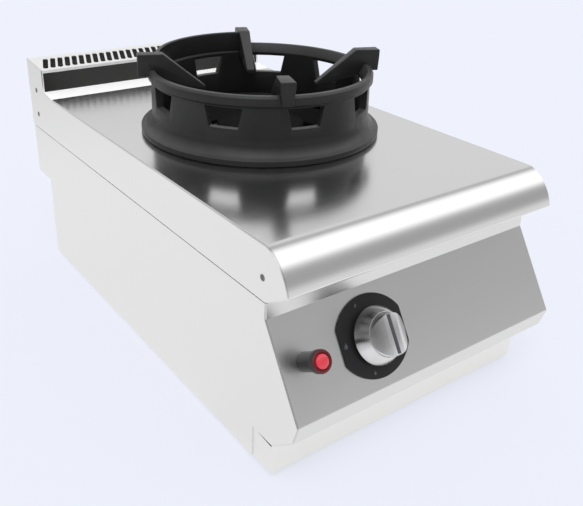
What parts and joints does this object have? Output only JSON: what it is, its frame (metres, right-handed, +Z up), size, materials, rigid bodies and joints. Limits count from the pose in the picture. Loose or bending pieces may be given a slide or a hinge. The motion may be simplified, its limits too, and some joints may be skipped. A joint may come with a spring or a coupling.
{
  "type": "wok range",
  "caption": "Countertop gas wok range: steel body with slanted knob panel, rolled nose, cast wok ring with lugs on a flat deck, and a slotted flue riser behind.",
  "frame": {"origin": "on the floor under the middle of the range's overall box", "axes": "+X to the right as seen from the front, +Y from the front to the back, +Z up"},
  "size_m": [0.4, 0.7376, 0.3845],
  "materials": {
    "stainless_sheet": "fine brushed",
    "stainless_deck": "satin, slightly mirrored",
    "stainless_panel": "satin",
    "galvanised_steel": "matt zinc",
    "screw_steel": "plain",
    "well_enamel": "black enamel",
    "foot_steel": "plain",
    "insulation_wool": "fibrous",
    "burner_iron": "matt cast",
    "burner_brass": "machined",
    "copper_pipe": "drawn copper",
    "wok_ring_iron": "matt black enamel",
    "knob_satin_metal": "satin",
    "bezel_black": "matt",
    "igniter_black": "gloss",
    "button_red": "gloss",
    "lead_rubber": "silicone rubber",
    "ceramic_white": "glazed ceramic"
  },
  "bodies": {
    "range": {"base_pan": "galvanised_steel", "burner_body": "burner_iron", "burner_box": "galvanised_steel", "burner_stand": "galvanised_steel", "burner_well": "well_enamel", "control_bezel": "bezel_black", "control_panel": "stainless_panel", "deck_ribs": "galvanised_steel", "flue_duct": "galvanised_steel", "flue_riser": "stainless_sheet", "foot_nuts": "galvanised_steel", "gas_inlet": "screw_steel", "gas_pipe": "galvanised_steel", "heat_shield": "galvanised_steel", "hob_side_left": "stainless_sheet", "hob_side_right": "stainless_sheet", "hob_top": "stainless_deck", "igniter_body": "igniter_black", "igniter_nut": "galvanised_steel", "igniter_spring": "screw_steel", "ignition_lead": "lead_rubber", "injector": "burner_brass", "injector_bracket": "galvanised_steel", "injector_pipe": "copper_pipe", "inlet_locknut": "screw_steel", "insulation_blanket": "insulation_wool", "mixing_tube": "galvanised_steel", "nose_brackets": "galvanised_steel", "pilot_bracket": "galvanised_steel", "pilot_burner": "screw_steel", "pilot_pipe": "copper_pipe", "pipe_clips": "galvanised_steel", "plinth": "stainless_sheet", "rear_panel_lower": "stainless_sheet", "rear_panel_upper": "stainless_sheet", "rear_screws": "screw_steel", "side_panel_left": "stainless_sheet", "side_panel_right": "stainless_sheet", "side_screws": "screw_steel", "spark_electrode": "ceramic_white", "thermocouple": "screw_steel", "thermocouple_lead": "copper_pipe", "valve_body": "burner_brass", "valve_bracket": "galvanised_steel", "valve_spring": "screw_steel"},
    "knob_sleeve": {"spring_seat": "screw_steel"},
    "knob": {"control_knob": "knob_satin_metal", "valve_spindle": "screw_steel"},
    "valve_plug": {"valve_plug": "burner_brass"},
    "igniter_button": {"igniter_button": "button_red"},
    "wok_ring": {"wok_ring": "wok_ring_iron", "wok_lugs": "wok_ring_iron"},
    "burner_crown": {"burner_crown": "burner_brass"},
    "burner_cap": {"burner_cap": "burner_iron"},
    "air_shutter": {"air_shutter": "galvanised_steel"},
    "foot_front_left": {"foot_front_left": "foot_steel"},
    "foot_front_right": {"foot_front_right": "foot_steel"},
    "foot_rear_left": {"foot_rear_left": "foot_steel"},
    "foot_rear_right": {"foot_rear_right": "foot_steel"}
  },
  "joints": [
    {"name": "knob_push", "type": "slide", "parent": "range", "child": "knob_sleeve", "axis": [0, 0.8496, -0.5275], "range_m": [0, 0.004], "stiffness_N_per_m": 2500, "springref_m": -0.006, "deforming": ["valve_spring"]},
    {"name": "knob_turn", "type": "hinge", "parent": "knob_sleeve", "child": "knob", "pos_m": [-0.0783, -0.32474, 0.14842], "axis": [0, -0.8496, 0.5275], "range_deg": [0, 160]},
    {"name": "valve_turn", "type": "hinge", "parent": "range", "child": "valve_plug", "pos_m": [-0.0783, -0.32474, 0.14842], "axis": [0, -0.8496, 0.5275], "range_deg": [0, 160]},
    {"name": "igniter_push", "type": "slide", "parent": "range", "child": "igniter_button", "axis": [0, 0.8496, -0.5275], "range_m": [0, 0.005], "stiffness_N_per_m": 1200, "springref_m": -0.005, "deforming": ["igniter_spring"]},
    {"name": "ring_lift", "type": "slide", "parent": "range", "child": "wok_ring", "axis": [0, 0, 1], "range_m": [0, 0.15]},
    {"name": "crown_lift", "type": "slide", "parent": "range", "child": "burner_crown", "axis": [0, 0, 1], "range_m": [0, 0.15]},
    {"name": "cap_lift", "type": "slide", "parent": "burner_crown", "child": "burner_cap", "axis": [0, 0, 1], "range_m": [0, 0.06]},
    {"name": "air_shutter_turn", "type": "hinge", "parent": "range", "child": "air_shutter", "pos_m": [0, -0.2426, 0.234], "axis": [0, 1, 0], "range_deg": [0, 45]},
    {"name": "foot_front_left_travel", "type": "slide", "parent": "range", "child": "foot_front_left", "axis": [0, 0, -1], "range_m": [0, 0.02]},
    {"name": "foot_front_right_travel", "type": "slide", "parent": "range", "child": "foot_front_right", "axis": [0, 0, -1], "range_m": [0, 0.02]},
    {"name": "foot_rear_left_travel", "type": "slide", "parent": "range", "child": "foot_rear_left", "axis": [0, 0, -1], "range_m": [0, 0.02]},
    {"name": "foot_rear_right_travel", "type": "slide", "parent": "range", "child": "foot_rear_right", "axis": [0, 0, -1], "range_m": [0, 0.02]}
  ],
  "couplings": [
    {"joint": "valve_turn", "follows": "knob_turn", "ratio": 1}
  ]
}
